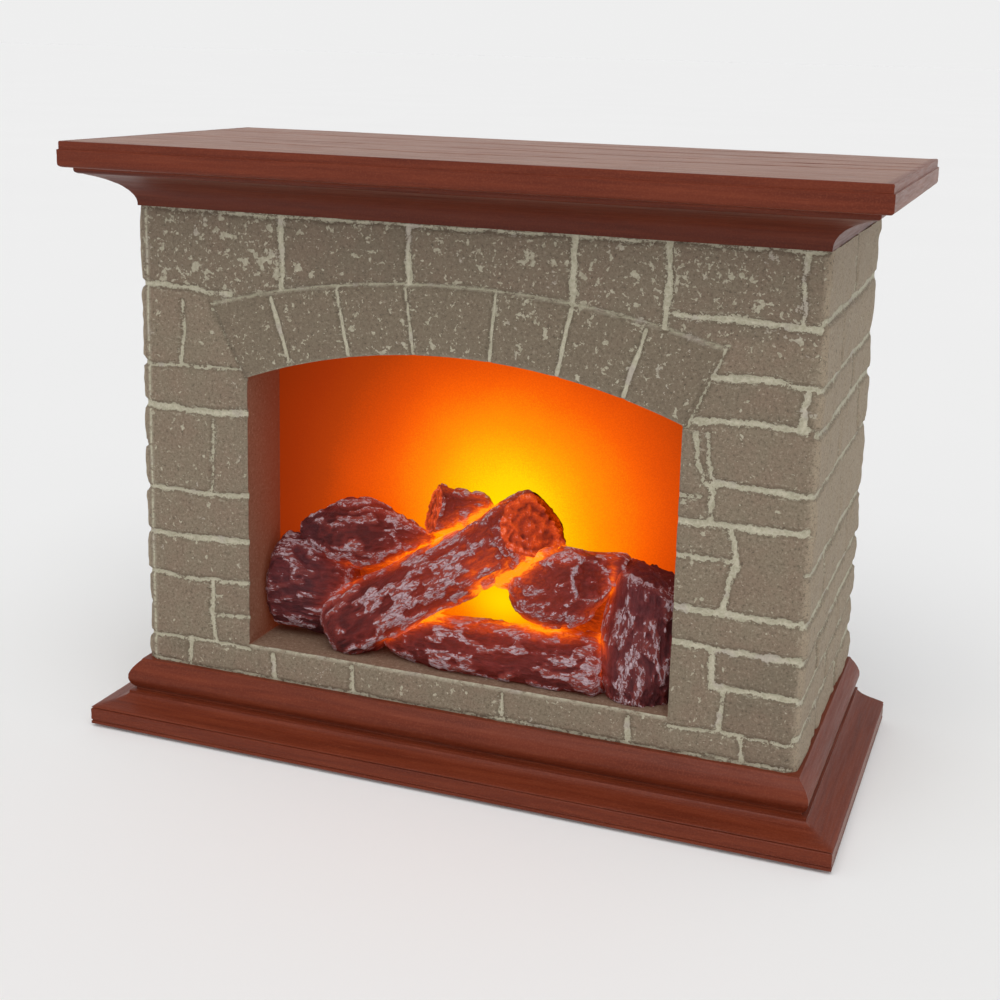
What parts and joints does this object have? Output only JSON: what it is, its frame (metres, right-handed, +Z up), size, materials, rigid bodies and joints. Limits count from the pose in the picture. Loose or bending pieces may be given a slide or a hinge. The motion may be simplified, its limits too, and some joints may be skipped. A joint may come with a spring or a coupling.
{
  "type": "miniature fireplace mantel",
  "caption": "Miniature arched stone fireplace with a brown mantel shelf and plinth, lit moulded logs in front of an amber screen, and a battery compartment at the back.",
  "frame": {"origin": "middle of the footprint, on the surface that the rubber feet stand on", "axes": "+Z up, +X to the right seen from the front, -Y towards the front, flat back towards +Y"},
  "size_m": [0.219, 0.101, 0.1682],
  "materials": {
    "stone_moulding": "matte, dry-brushed grey stone",
    "brown_moulding": "satin brown wood look",
    "dark_moulding": "fine spark texture",
    "foot_rubber": "matte",
    "cell_jacket": "plain printed jacket",
    "contact_steel": "nickel plated",
    "screw_steel": "zinc plated",
    "amber_screen": "translucent amber, lit from behind",
    "log_moulding": "translucent maroon with dry-brushed bark",
    "board_laminate": "green laminate",
    "lamp_lens": "clear amber",
    "black_component": "matte",
    "switch_plastic": "satin",
    "red_insulation": "satin",
    "black_insulation": "satin"
  },
  "bodies": {
    "mantel": {"surround_shell": "stone_moulding", "mantel_board": "brown_moulding", "cove_moulding": "brown_moulding", "base_plinth": "brown_moulding", "bottom_plate": "dark_moulding", "foot_pads": "foot_rubber", "rear_cover": "dark_moulding", "battery_tray": "dark_moulding", "battery_cell_1": "cell_jacket", "battery_cell_2": "cell_jacket", "battery_cell_3": "cell_jacket", "contact_springs": "contact_steel", "contact_plates": "contact_steel", "backdrop_screen": "amber_screen", "log_bed": "log_moulding", "led_board": "board_laminate", "led_1": "lamp_lens", "led_2": "lamp_lens", "led_3": "lamp_lens", "flicker_chip": "black_component", "resistors": "black_component", "switch_body": "black_component", "red_lead": "red_insulation", "switch_lead": "red_insulation", "black_lead": "black_insulation", "shelf_screws": "screw_steel", "plinth_screws": "screw_steel", "bottom_screws": "screw_steel", "rear_screws": "screw_steel", "backdrop_screws": "screw_steel", "log_screws": "screw_steel", "tray_screws": "screw_steel", "board_screws": "screw_steel", "switch_screws": "screw_steel"},
    "door": {"battery_door": "dark_moulding", "door_screw": "screw_steel"},
    "switch": {"switch_knob": "switch_plastic"}
  },
  "joints": [
    {"name": "battery_door_hinge", "type": "hinge", "parent": "mantel", "child": "door", "pos_m": [0, 0.0484, 0.037], "axis": [-1, 0, 0], "range_deg": [0, 100]},
    {"name": "switch_slide", "type": "slide", "parent": "mantel", "child": "switch", "axis": [1, 0, 0], "range_m": [0, 0.004]}
  ]
}
